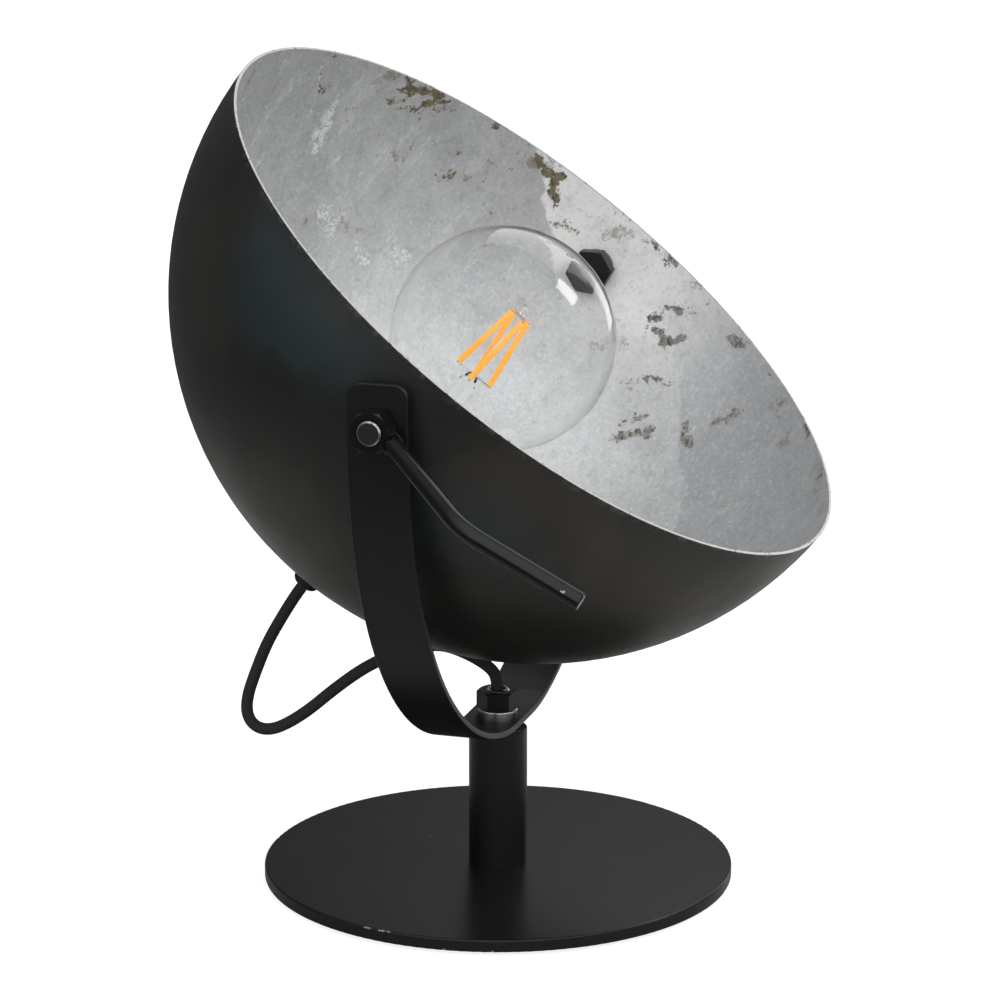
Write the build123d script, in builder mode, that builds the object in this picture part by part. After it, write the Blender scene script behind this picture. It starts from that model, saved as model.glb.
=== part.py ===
from build123d import *
from math import acos, asin, cos, degrees, radians, sin, sqrt, tan
import os

# Uplighter: a half-round shade that tilts in a strap yoke, which swivels on a short column.
# Millimetres, +Z up. The origin is the centre of the underside, on the column's axis.
# The shade tilts about X, with the clamp lever on the -X side, and opens up and towards -Y.

# Clearances that mating pieces share
fit_clearance = 0.05
running_clearance = 0.1
face_gap = 0.1
cut_overrun = 2.0

# Foot: pad, plate and fixing screw
base_diameter = 201.0
base_thickness = 5.5
base_edge_round = 0.8
pad_thickness = 1.5
pad_inset = 6.0
base_screw_diameter = 8.0
base_screw_head_diameter = 15.0
base_screw_length = 14.5
base_screw_socket_flats = 5.0
base_screw_socket_depth = 2.5
base_screw_recess = 0.2

# Column and its two plugs
column_diameter = 25.0
column_wall = 2.0
column_length = 60.0
column_edge_round = 0.7
foot_plug_length = 10.0
head_plug_length = 14.0
head_plug_recess = 1.0

# Bush for the mains lead, in the back of the column
outlet_height = 26.0
outlet_bore_diameter = 6.0
outlet_neck_diameter = 10.0
outlet_flange_diameter = 14.0
outlet_flange_thickness = 1.5
outlet_neck_inside = 1.5

# Swivel: hollow stud, washers and nut
stud_diameter = 10.0
stud_bore_diameter = 7.0
stud_below_lock_nut = 2.0
stud_above_nut = 0.6
stud_end_chamfer = 0.5
swivel_spacer_diameter = 19.0
swivel_spacer_thickness = 3.3
friction_washer_diameter = 20.0
friction_washer_thickness = 1.0
swivel_washer_diameter = 17.0
swivel_washer_thickness = 2.3
swivel_washer_round = 0.8
stud_lock_nut_height = 5.0
nut_flats = 16.0
swivel_nut_height = 7.8
swivel_nut_turn = -13.0
nut_corner_chamfer = 1.2
nut_chamfer_angle = 30.0

# Yoke strap
strap_width = 25.0
strap_thickness = 3.0
strap_edge_round = 0.8
shade_strap_gap = 3.0
strap_seat_width = 36.0
strap_seat_bend_radius = 100.0
pivot_above_arc_centre = 7.674
arm_above_pivot = 17.4
arm_corner_round = 6.0

# Shade
shade_radius = 154.0
shade_wall = 1.2
shade_tilt = 51.9
pivot_below_rim = 27.0
pivot_off_axis = 1.6

# Tilt pivot, one set each side
bolt_diameter = 10.0
bolt_head_flats = 17.0
bolt_head_height = 6.4
bolt_end_chamfer = 0.6
bolt_end_beyond_hub = 0.8
seat_diameter = 16.0
seat_least_thickness = 1.2
pivot_spacer_diameter = 18.0
pivot_washer_diameter = 15.0
pivot_washer_thickness = 1.4
lock_nut_hex_height = 7.5
lock_nut_collar_height = 2.5
lock_nut_collar_diameter = 13.0

# Clamp lever
hub_flats = 15.5
hub_thickness = 8.9
hub_corner_chamfer = 1.0
hub_hole_chamfer = 0.5
hub_chamfer_angle = 45.0
boss_flats = 8.8
boss_beyond_flat = 2.2
boss_socket_depth = 1.6
lever_diameter = 7.5
lever_drop_angle = 27.5
lever_bend_reach = 54.4
lever_bend_offset = 39.5
lever_grip_length = 52.8
lever_bend_radius = 24.0
lever_end_chamfer = 0.5

# Lampholder, along the shade's axis
holder_standoff = 16.0
skirt_wall = 1.8
skirt_lip_thickness = 1.6
skirt_lip_clearance = 2.1
skirt_ahead_of_core = 3.0
core_wall = 3.65
core_floor_thickness = 4.0
core_in_dome = 1.15
dome_length = 19.0
dome_straight_share = 0.37
dome_boss_share = 0.315
dome_back_diameter = 20.0
dome_wall = 2.2
sleeve_wall = 0.5
sleeve_clearance = 0.3
contact_width = 6.0
contact_length = 16.0
contact_thickness = 0.6
contact_gap = 0.4

# Lampholder's fixing through the shade
holder_stud_inside = 6.0
holder_stud_beyond_nut = 3.5
holder_spacer_diameter = 16.0
shade_washer_diameter = 20.0
shade_washer_thickness = 1.5
shade_nut_height = 5.0
cord_grip_diameter = 12.0
cord_grip_length = 10.0
cord_grip_round = 2.2
cord_grip_bore_clearance = 0.25

# Bulb
globe_diameter = 95.0
glass_wall = 0.8
neck_start_angle = 33.0
neck_clearance = 0.4
neck_in_cap = 1.28
cap_ahead_of_skirt = 0.5
cap_rim_length = 2.0
cap_shoulder_length = 2.0
cap_rim_overhang = 0.3
cap_wall = 0.4
thread_crest_radius = 13.1
thread_depth = 1.0
thread_pitch = 3.63
thread_turns = 5
insulator_inset = 0.1
insulator_back_radius = 6.0
insulator_length = 3.0
bulb_contact_radius = 4.5
bulb_contact_length = 1.5
stem_flare_gap = 0.6
stem_flare_length = 9.0
stem_radius = 4.0
stem_tip_radius = 2.4
stem_rod_radius = 0.7
stem_bead_radius = 2.0
filament_diameter = 2.4
filament_top_ahead = 12.1
filament_top_radius = 4.2
filament_bottom_behind = 20.1
filament_bottom_radius = 8.2
filament_bottom_angles = [5.0, 95.0, 185.0, 275.0]
filament_top_angles = [60.0, 110.0, 215.0, 265.0]
wire_diameter = 0.6
wire_collar_wall = 0.4
wire_beyond_filament = 1.0
wire_gap = 0.35

# Cord between the shade and the column, in the plane x = 0. The route's points run from the grip
# to the stud, as shares of the span between those ends: along it, and square to it on the lower side
cord_diameter = 5.2
cord_in_grip = 4.5
cord_straight_from_grip = 3.0
cord_straight_from_stud = 1.0
cord_in_stud = 7.5
cord_route_shares = [
    (1.0265, 0.1428),
    (1.0497, 0.3092),
    (1.0491, 0.4761),
    (1.0440, 0.5784),
    (1.0214, 0.6574),
    (0.9755, 0.6991),
    (0.9148, 0.6994),
    (0.8502, 0.6534),
    (0.7649, 0.5313),
    (0.6764, 0.3505),
    (0.5790, 0.1847),
    (0.4527, 0.0433),
    (0.3234, -0.0568),
    (0.1937, -0.0761),
    (0.0766, -0.0528),
]
arc_run_share = 0.45

# Heights that follow from the sizes above
plate_top = pad_thickness + base_thickness
column_top = plate_top + column_length
head_plug_top = column_top - head_plug_recess
strap_bottom = head_plug_top + swivel_spacer_thickness + friction_washer_thickness
strap_top = strap_bottom + strap_thickness
swivel_nut_bottom = strap_top + swivel_washer_thickness
head_plug_bottom = head_plug_top - head_plug_length
stud_lock_nut_bottom = head_plug_bottom - stud_lock_nut_height
stud_bottom = stud_lock_nut_bottom - stud_below_lock_nut
stud_top = swivel_nut_bottom + swivel_nut_height + stud_above_nut
strap_inner_radius = shade_radius + shade_strap_gap
strap_radius = strap_inner_radius + strap_thickness
seat_sag = strap_radius - sqrt(strap_radius**2 - (strap_seat_width / 2) ** 2)
arc_centre_height = strap_bottom - seat_sag + strap_radius
pivot_height = arc_centre_height + pivot_above_arc_centre
arm_top = pivot_height + arm_above_pivot

# The shade's own frame: its axis points out of the opening, from the centre of the rim
tilt = radians(shade_tilt)
shade_direction = Vector(0, -cos(tilt), sin(tilt))
pivot_point = Vector(0, 0, pivot_height)
shade_across = Vector(0, sin(tilt), cos(tilt))
rim_centre = pivot_point + shade_direction * pivot_below_rim - shade_across * pivot_off_axis
shade_axis = Axis(rim_centre, shade_direction)
shade_section = Plane(origin=rim_centre, x_dir=(1, 0, 0), z_dir=(0, -sin(tilt), -cos(tilt)))
shade_inner_radius = shade_radius - shade_wall

# Distances along X from the middle, the same on both sides
seat_lowest_depth = pivot_below_rim + seat_diameter / 2
seat_face = sqrt(shade_inner_radius**2 - seat_lowest_depth**2) - seat_least_thickness
washer_inner_face = strap_radius + face_gap
washer_outer_face = washer_inner_face + pivot_washer_thickness
hub_inner_face = washer_outer_face + face_gap
hub_outer_face = hub_inner_face + hub_thickness
bolt_end = hub_outer_face + bolt_end_beyond_hub
bolt_hole_radius = bolt_diameter / 2 + running_clearance
stud_hole_radius = stud_diameter / 2 + running_clearance
thread_hole_radius = stud_diameter / 2 + fit_clearance

# Depths along the shade's axis, from the rim plane to the apex
apex_depth = shade_radius
shade_nut_depth = apex_depth + shade_washer_thickness
grip_depth = shade_nut_depth + shade_nut_height
holder_stud_end_depth = grip_depth + holder_stud_beyond_nut
dome_back_depth = apex_depth - holder_standoff
dome_front_depth = dome_back_depth - dome_length
core_back_depth = dome_front_depth + core_in_dome
core_floor_depth = core_back_depth - core_floor_thickness
contact_depth = core_floor_depth - contact_thickness - contact_gap
cap_back_depth = contact_depth - bulb_contact_length - insulator_length
thread_first_depth = cap_back_depth - thread_turns * thread_pitch
cap_front_depth = thread_first_depth - cap_shoulder_length - cap_rim_length
skirt_front_depth = cap_front_depth + cap_ahead_of_skirt
core_front_depth = skirt_front_depth + skirt_ahead_of_core

# Radii about the shade's axis, from the bulb's thread outwards
thread_root_radius = thread_crest_radius - thread_depth
cap_rim_radius = thread_crest_radius + cap_rim_overhang
neck_radius = cap_rim_radius - cap_wall - neck_clearance
stem_flare_radius = neck_radius - glass_wall - stem_flare_gap
insulator_front_radius = thread_root_radius - insulator_inset
sleeve_crest = thread_crest_radius + sleeve_clearance
sleeve_root = thread_root_radius + sleeve_clearance
core_bore_radius = sleeve_crest + sleeve_wall + fit_clearance
core_radius = core_bore_radius + core_wall
skirt_bore_radius = core_radius + running_clearance
skirt_radius = skirt_bore_radius + skirt_wall
skirt_lip_radius = cap_rim_radius + skirt_lip_clearance


def side_plane(side, distance):
    """Plane square to X at a distance from the middle, facing away from it, centred on the pivot."""
    return Plane(origin=(side * distance, 0, pivot_height), x_dir=(0, 1, 0), z_dir=(side, 0, 0))


def depth_plane(depth):
    """Plane square to the shade's axis at a depth below the rim, facing the apex."""
    return Plane(origin=rim_centre - shade_direction * depth, x_dir=(1, 0, 0), z_dir=-shade_direction)


def turned(section, axis, outline):
    """Solid of revolution from an outline of (radius, height) points."""
    with BuildPart() as piece:
        with BuildSketch(section):
            with BuildLine():
                Polyline(*outline, close=True)
            make_face()
        revolve(axis=axis)
    return piece


def on_shade_axis(outline):
    """Solid of revolution about the shade's axis, from (radius, depth) points."""
    return turned(shade_section, shade_axis, [(radius, -depth) for radius, depth in outline])


def upright(outline):
    """Solid of revolution about the column's axis, from (radius, height) points."""
    return turned(Plane.XZ, Axis.Z, outline)


def ring(plane, diameter, hole_radius, thickness):
    """Flat washer, spacer or collar that rises from a plane."""
    with BuildPart() as piece:
        with BuildSketch(plane):
            Circle(diameter / 2)
            Circle(hole_radius, mode=Mode.SUBTRACT)
        extrude(amount=thickness)
    return piece


def hex_body(plane, flats, height, hole_radius, corner_chamfer):
    """Hexagon with its far corners turned off, as on a nut or a bolt's head."""
    corner_radius = flats / sqrt(3)
    with BuildPart() as piece:
        with BuildSketch(plane):
            RegularPolygon(flats / 2, side_count=6, major_radius=False)
            if hole_radius > 0:
                Circle(hole_radius, mode=Mode.SUBTRACT)
        extrude(amount=height)
        cone_side = Plane(origin=plane.origin, x_dir=plane.x_dir, z_dir=-plane.y_dir)
        with BuildSketch(cone_side):
            with BuildLine():
                Polyline(
                    (0, 0),
                    (corner_radius, 0),
                    (corner_radius, height - corner_chamfer * tan(radians(nut_chamfer_angle))),
                    (corner_radius - corner_chamfer, height),
                    (0, height),
                    close=True,
                )
            make_face()
        revolve(axis=Axis(plane.origin, plane.z_dir), mode=Mode.INTERSECT)
    return piece


# Foot
with BuildPart() as base_pad:
    with BuildSketch(Plane.XY):
        Circle(base_diameter / 2 - pad_inset)
    extrude(amount=pad_thickness)

screw_hole_radius = base_screw_diameter / 2 + fit_clearance
screw_sink_radius = base_screw_head_diameter / 2 + fit_clearance + base_screw_recess
screw_sink_depth = screw_sink_radius - screw_hole_radius
with BuildPart() as base_plate:
    with BuildSketch(Plane.XZ):
        with BuildLine():
            Polyline(
                (screw_sink_radius, pad_thickness),
                (base_diameter / 2, pad_thickness),
                (base_diameter / 2, plate_top),
                (screw_hole_radius, plate_top),
                (screw_hole_radius, pad_thickness + screw_sink_depth),
                close=True,
            )
        make_face()
    revolve(axis=Axis.Z)
    fillet(base_plate.edges().filter_by(GeomType.CIRCLE).group_by(SortBy.RADIUS)[-1], base_edge_round)

screw_bottom = pad_thickness + base_screw_recess
screw_head_slope = base_screw_head_diameter / 2 - base_screw_diameter / 2
with BuildPart() as base_screw:
    with BuildSketch(Plane.XZ):
        with BuildLine():
            Polyline(
                (0, screw_bottom),
                (base_screw_head_diameter / 2, screw_bottom),
                (base_screw_diameter / 2, screw_bottom + screw_head_slope),
                (base_screw_diameter / 2, screw_bottom + base_screw_length),
                (0, screw_bottom + base_screw_length),
                close=True,
            )
        make_face()
    revolve(axis=Axis.Z)
    with BuildSketch(Plane.XY.offset(screw_bottom)):
        RegularPolygon(base_screw_socket_flats / 2, side_count=6, major_radius=False)
    extrude(amount=base_screw_socket_depth, mode=Mode.SUBTRACT)

# Column
column_radius = column_diameter / 2
column_bore_radius = column_radius - column_wall
plug_diameter = (column_bore_radius - fit_clearance) * 2
with BuildPart() as column_tube:
    with BuildSketch(Plane.XY.offset(plate_top)):
        Circle(column_radius)
        Circle(column_bore_radius, mode=Mode.SUBTRACT)
    extrude(amount=column_length)
    fillet(column_tube.edges().group_by(Axis.Z)[-1].sort_by(SortBy.RADIUS)[-1], column_edge_round)
    with BuildSketch(Plane.YZ):
        with Locations((0, outlet_height)):
            Circle(outlet_neck_diameter / 2 + fit_clearance)
    extrude(amount=column_diameter, mode=Mode.SUBTRACT)

foot_plug = ring(Plane.XY.offset(plate_top), plug_diameter, screw_hole_radius, foot_plug_length)
head_plug = ring(Plane.XY.offset(head_plug_bottom), plug_diameter, thread_hole_radius, head_plug_length)

outlet_inner_face = column_bore_radius - outlet_neck_inside
outlet_outer_face = column_radius + outlet_flange_thickness
with BuildPart() as outlet_bush:
    with BuildSketch(Plane.YZ):
        with Locations((0, outlet_height)):
            Circle(outlet_flange_diameter / 2)
    extrude(amount=outlet_outer_face)
    with BuildSketch(Plane.XY):
        Circle(column_radius + fit_clearance)
    extrude(amount=column_top, mode=Mode.SUBTRACT)
    with BuildSketch(Plane.YZ.offset(outlet_inner_face)):
        with Locations((0, outlet_height)):
            Circle(outlet_neck_diameter / 2)
    extrude(amount=outlet_outer_face - outlet_inner_face)
    with BuildSketch(Plane.YZ):
        with Locations((0, outlet_height)):
            Circle(outlet_bore_diameter / 2)
    extrude(amount=column_diameter, mode=Mode.SUBTRACT)

# Swivel
swivel_stud = upright(
    [
        (stud_bore_diameter / 2, stud_bottom),
        (stud_diameter / 2, stud_bottom),
        (stud_diameter / 2, stud_top - stud_end_chamfer),
        (stud_diameter / 2 - stud_end_chamfer, stud_top),
        (stud_bore_diameter / 2, stud_top),
    ]
)
stud_lock_nut = hex_body(
    Plane(origin=(0, 0, head_plug_bottom), x_dir=(1, 0, 0), z_dir=(0, 0, -1)),
    nut_flats,
    stud_lock_nut_height,
    thread_hole_radius,
    nut_corner_chamfer,
)
swivel_spacer = ring(
    Plane.XY.offset(head_plug_top), swivel_spacer_diameter, stud_hole_radius, swivel_spacer_thickness
)
friction_washer = ring(
    Plane.XY.offset(head_plug_top + swivel_spacer_thickness),
    friction_washer_diameter,
    stud_hole_radius,
    friction_washer_thickness,
)
with BuildPart() as swivel_washer:
    with BuildSketch(Plane.XY.offset(strap_top)):
        Circle(swivel_washer_diameter / 2)
        Circle(stud_hole_radius, mode=Mode.SUBTRACT)
    extrude(amount=swivel_washer_thickness)
    fillet(swivel_washer.edges().group_by(Axis.Z)[-1].sort_by(SortBy.RADIUS)[-1], swivel_washer_round)
nut_turn = radians(swivel_nut_turn)
swivel_nut = hex_body(
    Plane(origin=(0, 0, swivel_nut_bottom), x_dir=(cos(nut_turn), sin(nut_turn), 0), z_dir=(0, 0, 1)),
    nut_flats,
    swivel_nut_height,
    thread_hole_radius,
    nut_corner_chamfer,
)

# Yoke strap: a half circle with straight arms, pressed flat where it is clamped to the column
seat_outer_angle = degrees(acos(strap_seat_width / 2 / strap_radius))
seat_inner_angle = degrees(asin((arc_centre_height - strap_top) / strap_inner_radius))
arc_centre = (0, arc_centre_height)
half_turn_angle = 180
with BuildPart() as yoke_strap:
    with BuildSketch(Plane.XZ) as strap_side:
        with BuildLine():
            outer_right = CenterArc(arc_centre, strap_radius, 0, -seat_outer_angle)
            outer_left = CenterArc(arc_centre, strap_radius, half_turn_angle, seat_outer_angle)
            inner_right = CenterArc(arc_centre, strap_inner_radius, 0, -seat_inner_angle)
            inner_left = CenterArc(arc_centre, strap_inner_radius, half_turn_angle, seat_inner_angle)
            Line(outer_right @ 1, outer_left @ 1)
            Line(inner_right @ 1, inner_left @ 1)
            Polyline(outer_right @ 0, (strap_radius, arm_top), (strap_inner_radius, arm_top), inner_right @ 0)
            Polyline(outer_left @ 0, (-strap_radius, arm_top), (-strap_inner_radius, arm_top), inner_left @ 0)
        make_face()
        seat_ends = strap_side.vertices().group_by(Axis.Y)
        fillet(seat_ends[0] + seat_ends[1], strap_seat_bend_radius)
    extrude(amount=strap_width / 2, both=True)
    fillet(yoke_strap.edges().filter_by(Axis.X).group_by(Axis.Z)[-1], arm_corner_round)
    fillet(yoke_strap.faces().filter_by(Axis.Y).edges(), strap_edge_round)
    with BuildSketch(Plane.XY.offset(strap_bottom - cut_overrun)):
        Circle(stud_hole_radius)
    extrude(amount=strap_thickness + cut_overrun * 2, mode=Mode.SUBTRACT)
    with BuildSketch(side_plane(1, 0)):
        Circle(bolt_hole_radius)
    extrude(amount=strap_radius + cut_overrun, both=True, mode=Mode.SUBTRACT)

# Shade: a spun half sphere with a hole at its apex and one for each pivot bolt
outer_hole_angle = degrees(asin(stud_hole_radius / shade_radius))
inner_hole_angle = degrees(asin(stud_hole_radius / shade_inner_radius))
quarter_turn = 90
full_turn = 360
with BuildPart() as shade:
    with BuildSketch(shade_section):
        with BuildLine():
            outer_line = CenterArc((0, 0), shade_radius, 0, outer_hole_angle - quarter_turn)
            inner_line = CenterArc((0, 0), shade_inner_radius, 0, inner_hole_angle - quarter_turn)
            Line(outer_line @ 0, inner_line @ 0)
            Line(outer_line @ 1, inner_line @ 1)
        make_face()
    revolve(axis=shade_axis)
    with BuildSketch(side_plane(1, 0)):
        Circle(bolt_hole_radius)
    extrude(amount=shade_radius, both=True, mode=Mode.SUBTRACT)

# Pivot sets: bolt from inside the shade, shaped seat, spacer, strap, washer, then lever hub or nut
pieces = {}
for name, side in (("left", -1), ("right", 1)):
    bolt_head = hex_body(
        Plane(origin=(side * seat_face, 0, pivot_height), x_dir=(0, 1, 0), z_dir=(-side, 0, 0)),
        bolt_head_flats,
        bolt_head_height,
        0,
        nut_corner_chamfer,
    )
    with BuildPart() as pivot_bolt:
        add(bolt_head.part)
        with BuildSketch(side_plane(side, seat_face)):
            Circle(bolt_diameter / 2)
        extrude(amount=bolt_end - seat_face)
        bolt_faces = pivot_bolt.faces().sort_by(Axis.X)
        chamfer((bolt_faces[0] if side < 0 else bolt_faces[-1]).edges(), bolt_end_chamfer)
    pieces["pivot_bolt_" + name] = pivot_bolt

    with BuildPart() as pivot_seat:
        with BuildSketch(side_plane(side, seat_face)):
            Circle(seat_diameter / 2)
            Circle(bolt_hole_radius, mode=Mode.SUBTRACT)
        extrude(amount=shade_radius - seat_face)
        with Locations(rim_centre):
            Sphere(shade_inner_radius - fit_clearance, mode=Mode.INTERSECT)
    pieces["pivot_seat_" + name] = pivot_seat

    with BuildPart() as pivot_spacer:
        with BuildSketch(side_plane(side, seat_face)):
            Circle(pivot_spacer_diameter / 2)
            Circle(bolt_hole_radius, mode=Mode.SUBTRACT)
        extrude(amount=strap_inner_radius - face_gap - seat_face)
        with Locations(rim_centre):
            Sphere(shade_radius + fit_clearance, mode=Mode.SUBTRACT)
    pieces["pivot_spacer_" + name] = pivot_spacer

    pieces["pivot_washer_" + name] = ring(
        side_plane(side, washer_inner_face), pivot_washer_diameter, bolt_hole_radius, pivot_washer_thickness
    )

lock_nut_hex = hex_body(
    side_plane(1, washer_outer_face), nut_flats, lock_nut_hex_height, thread_hole_radius, nut_corner_chamfer
)
with BuildPart() as lock_nut:
    add(lock_nut_hex.part)
    with BuildSketch(side_plane(1, washer_outer_face + lock_nut_hex_height)):
        Circle(lock_nut_collar_diameter / 2)
        Circle(thread_hole_radius, mode=Mode.SUBTRACT)
    extrude(amount=lock_nut_collar_height)

# Clamp lever: hexagon hub with a boss, and a rod that leans out and then runs beside the strap
drop = radians(lever_drop_angle)
lever_out = Vector(0, -cos(drop), -sin(drop))
hub_middle = (hub_inner_face + hub_outer_face) / 2
hub_centre = Vector(-hub_middle, 0, pivot_height)
flat_point = hub_centre + lever_out * (hub_flats / 2)
bend_point = Vector(-hub_middle - lever_bend_offset, 0, pivot_height) + lever_out * lever_bend_reach
lever_lean = (bend_point - flat_point).normalized()
boss_end = flat_point + lever_lean * boss_beyond_flat
lever_root = boss_end - lever_lean * boss_socket_depth
lever_end = bend_point + lever_out * lever_grip_length
lever_edge = Vector(0, -sin(drop), cos(drop))
hub_plane = Plane(origin=(-hub_inner_face, 0, pivot_height), x_dir=lever_edge, z_dir=(-1, 0, 0))
hub_hex = hex_body(hub_plane, hub_flats, hub_thickness, 0, hub_corner_chamfer)
boss_plane = Plane(origin=flat_point - lever_lean * (hub_flats / 2), x_dir=lever_edge, z_dir=lever_lean)
with BuildPart() as lever_hub:
    add(hub_hex.part)
    with BuildSketch(boss_plane):
        RegularPolygon(boss_flats / 2, side_count=6, major_radius=False)
    extrude(amount=hub_flats / 2 + boss_beyond_flat)
    with BuildSketch(side_plane(-1, 0)):
        Circle(lever_bend_reach)
    extrude(amount=hub_inner_face, mode=Mode.SUBTRACT)
    with BuildSketch(side_plane(-1, 0)):
        Circle(bolt_hole_radius)
    extrude(amount=hub_outer_face + hub_thickness, mode=Mode.SUBTRACT)
    with BuildSketch(side_plane(-1, hub_outer_face - hub_hole_chamfer)):
        Circle(bolt_hole_radius)
    extrude(amount=cut_overrun, taper=-hub_chamfer_angle, mode=Mode.SUBTRACT)
    with BuildSketch(Plane(origin=lever_root, x_dir=lever_edge, z_dir=lever_lean)):
        Circle(lever_diameter / 2 + fit_clearance)
    extrude(amount=boss_socket_depth + cut_overrun, mode=Mode.SUBTRACT)

with BuildPart() as lever_arm:
    with BuildLine() as lever_line:
        FilletPolyline(lever_root, bend_point, lever_end, radius=lever_bend_radius)
    with BuildSketch(Plane(origin=lever_root, x_dir=lever_edge, z_dir=lever_lean)):
        Circle(lever_diameter / 2)
    sweep(path=lever_line.line)
    tip_face = lever_arm.faces().filter_by(GeomType.PLANE).sort_by_distance(lever_end)[0]
    chamfer(tip_face.edges(), lever_end_chamfer)

# Lampholder's fixing: hollow stud, spacer inside, washer, nut and cord grip outside
holder_stud_start_depth = dome_back_depth - holder_stud_inside
holder_stud = ring(
    depth_plane(holder_stud_start_depth),
    stud_diameter,
    stud_bore_diameter / 2,
    holder_stud_end_depth - holder_stud_start_depth,
)
spacer_end_depth = sqrt((shade_inner_radius - fit_clearance) ** 2 - (holder_spacer_diameter / 2) ** 2)
holder_spacer = ring(
    depth_plane(dome_back_depth), holder_spacer_diameter, stud_hole_radius, spacer_end_depth - dome_back_depth
)
shade_washer = ring(depth_plane(apex_depth), shade_washer_diameter, stud_hole_radius, shade_washer_thickness)
shade_nut = hex_body(
    depth_plane(shade_nut_depth), nut_flats, shade_nut_height, thread_hole_radius, nut_corner_chamfer
)
grip_bore_radius = cord_diameter / 2 + cord_grip_bore_clearance
with BuildPart() as cord_grip:
    with BuildSketch(depth_plane(grip_depth)):
        Circle(cord_grip_diameter / 2)
    extrude(amount=cord_grip_length)
    grip_end = cord_grip.faces().sort_by(shade_axis)[0]
    fillet(grip_end.edges(), cord_grip_round)
    with BuildSketch(depth_plane(grip_depth)):
        Circle(thread_hole_radius)
    extrude(amount=holder_stud_beyond_nut + face_gap, mode=Mode.SUBTRACT)
    with BuildSketch(depth_plane(grip_depth)):
        Circle(grip_bore_radius)
    extrude(amount=cord_grip_length + cut_overrun, mode=Mode.SUBTRACT)

# Lampholder: skirt, insulating core, threaded sleeve, contact and dome
holder_skirt = on_shade_axis(
    [
        (skirt_lip_radius, skirt_front_depth),
        (skirt_radius, skirt_front_depth),
        (skirt_radius, dome_front_depth),
        (skirt_bore_radius, dome_front_depth),
        (skirt_bore_radius, skirt_front_depth + skirt_lip_thickness),
        (skirt_lip_radius, skirt_front_depth + skirt_lip_thickness),
    ]
)


def thread_outline(crest_radius, root_radius, first_depth):
    """Zigzag of crests and roots along a screw shell, as (radius, depth) points."""
    outline = []
    for turn in range(thread_turns):
        outline.append((root_radius, first_depth + turn * thread_pitch))
        outline.append((crest_radius, first_depth + (turn + 1 / 2) * thread_pitch))
    outline.append((root_radius, first_depth + thread_turns * thread_pitch))
    return outline


sleeve_inside = thread_outline(sleeve_crest, sleeve_root, thread_first_depth)
sleeve_outside = thread_outline(sleeve_crest + sleeve_wall, sleeve_root + sleeve_wall, thread_first_depth)
holder_sleeve = on_shade_axis(sleeve_inside + sleeve_outside[::-1])

holder_core = on_shade_axis(
    [
        (core_bore_radius, core_front_depth),
        (core_radius, core_front_depth),
        (core_radius, core_back_depth),
        (0, core_back_depth),
        (0, core_floor_depth),
        (core_bore_radius, core_floor_depth),
    ]
)
with BuildPart() as holder_contact:
    with BuildSketch(depth_plane(core_floor_depth - contact_thickness)):
        SlotOverall(contact_length, contact_width)
    extrude(amount=contact_thickness)

dome_radius = skirt_radius
dome_shoulder_depth = dome_front_depth + dome_length * dome_straight_share
dome_boss_length = dome_length * dome_boss_share
with BuildPart() as holder_dome:
    with BuildSketch(shade_section):
        with BuildLine():
            Polyline(
                (dome_radius - skirt_wall, -dome_front_depth),
                (dome_radius, -dome_front_depth),
                (dome_radius, -dome_shoulder_depth),
            )
            TangentArc(
                (dome_radius, -dome_shoulder_depth), (dome_back_diameter / 2, -dome_back_depth), tangent=(0, -1)
            )
            Polyline(
                (dome_back_diameter / 2, -dome_back_depth),
                (thread_hole_radius, -dome_back_depth),
                (thread_hole_radius, -dome_back_depth + dome_boss_length),
                (dome_back_diameter / 2, -dome_back_depth + dome_boss_length),
                (dome_radius - dome_wall * 2, -dome_shoulder_depth),
                (dome_radius - dome_wall * 2, -core_back_depth),
                (dome_radius - skirt_wall, -core_back_depth),
                (dome_radius - skirt_wall, -dome_front_depth),
            )
        make_face()
    revolve(axis=shade_axis)

# Bulb: glass globe and neck, screw cap, insulator, contact, stem, wires and filaments
globe_radius = globe_diameter / 2
neck_angle = radians(neck_start_angle)
neck_start_radius = globe_radius * sin(neck_angle)
neck_turn = radians(quarter_turn - neck_start_angle)
neck_arc_radius = (neck_start_radius - neck_radius) / (1 - cos(neck_turn))
neck_end_depth = cap_front_depth + neck_in_cap
neck_start_depth = neck_end_depth - neck_arc_radius * sin(neck_turn)
globe_centre_depth = neck_start_depth - globe_radius * cos(neck_angle)
glass_inner_radius = globe_radius - glass_wall
inner_neck_start_radius = glass_inner_radius * sin(neck_angle)
inner_neck_start_depth = globe_centre_depth + glass_inner_radius * cos(neck_angle)
with BuildPart() as bulb_glass:
    with BuildSketch(shade_section):
        with BuildLine():
            CenterArc(
                (0, -globe_centre_depth), globe_radius, quarter_turn, neck_start_angle - quarter_turn * 2
            )
            outer_neck = TangentArc(
                (neck_start_radius, -neck_start_depth),
                (neck_radius, -neck_end_depth),
                tangent=(-sin(neck_turn), -cos(neck_turn)),
            )
            CenterArc(
                (0, -globe_centre_depth), glass_inner_radius, quarter_turn, neck_start_angle - quarter_turn * 2
            )
            inner_neck = TangentArc(
                (inner_neck_start_radius, -inner_neck_start_depth),
                (neck_radius - glass_wall, -neck_end_depth),
                tangent=(-sin(neck_turn), -cos(neck_turn)),
            )
            Line(outer_neck @ 1, inner_neck @ 1)
            Line((0, globe_radius - globe_centre_depth), (0, glass_inner_radius - globe_centre_depth))
        make_face()
    revolve(axis=shade_axis)

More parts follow.
